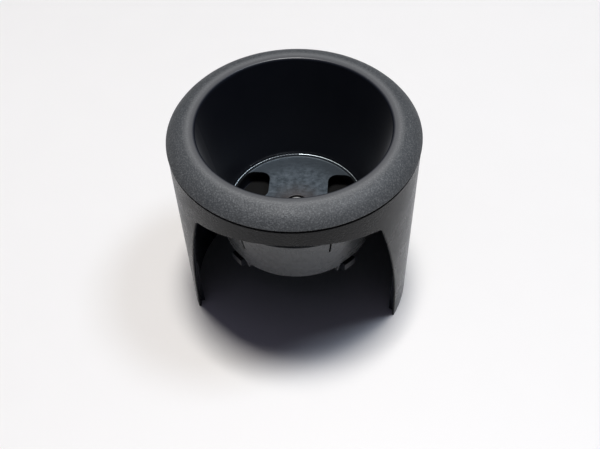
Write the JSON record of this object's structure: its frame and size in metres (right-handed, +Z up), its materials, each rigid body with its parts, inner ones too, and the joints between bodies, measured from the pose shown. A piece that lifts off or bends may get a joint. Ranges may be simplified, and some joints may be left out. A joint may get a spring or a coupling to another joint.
{
  "type": "desk cup holder",
  "caption": "Round cup holder: tapered cup with a domed rim in an arched shroud, steel floor plate with four windows, collar clipped round its foot.",
  "frame": {"origin": "centre of the round base, on the surface that the shroud stands on", "axes": "+Z up along the cup's axis; -Y towards the side with the arch; +X to the right seen from the arch side"},
  "size_m": [0.1, 0.1, 0.098],
  "materials": {
    "shroud_plastic": "fine pebble grain",
    "rim_plastic": "fine pebble grain on the rim, smooth inside",
    "plate_steel": "zinc-plated, dulled",
    "collar_plastic": "smooth satin",
    "screw_steel": "zinc-plated",
    "spring_steel": "black phosphate"
  },
  "bodies": {
    "shroud": {"outer_shroud": "shroud_plastic"},
    "cup": {"cup_insert": "rim_plastic", "floor_plate": "plate_steel", "support_collar": "collar_plastic", "centre_screw": "screw_steel", "plain_washer": "screw_steel", "spring_washer": "spring_steel", "hex_nut": "screw_steel"}
  },
  "joints": [
    {"name": "cup_lift", "type": "slide", "parent": "shroud", "child": "cup", "axis": [0, 0, 1], "range_m": [0, 0.07]}
  ]
}
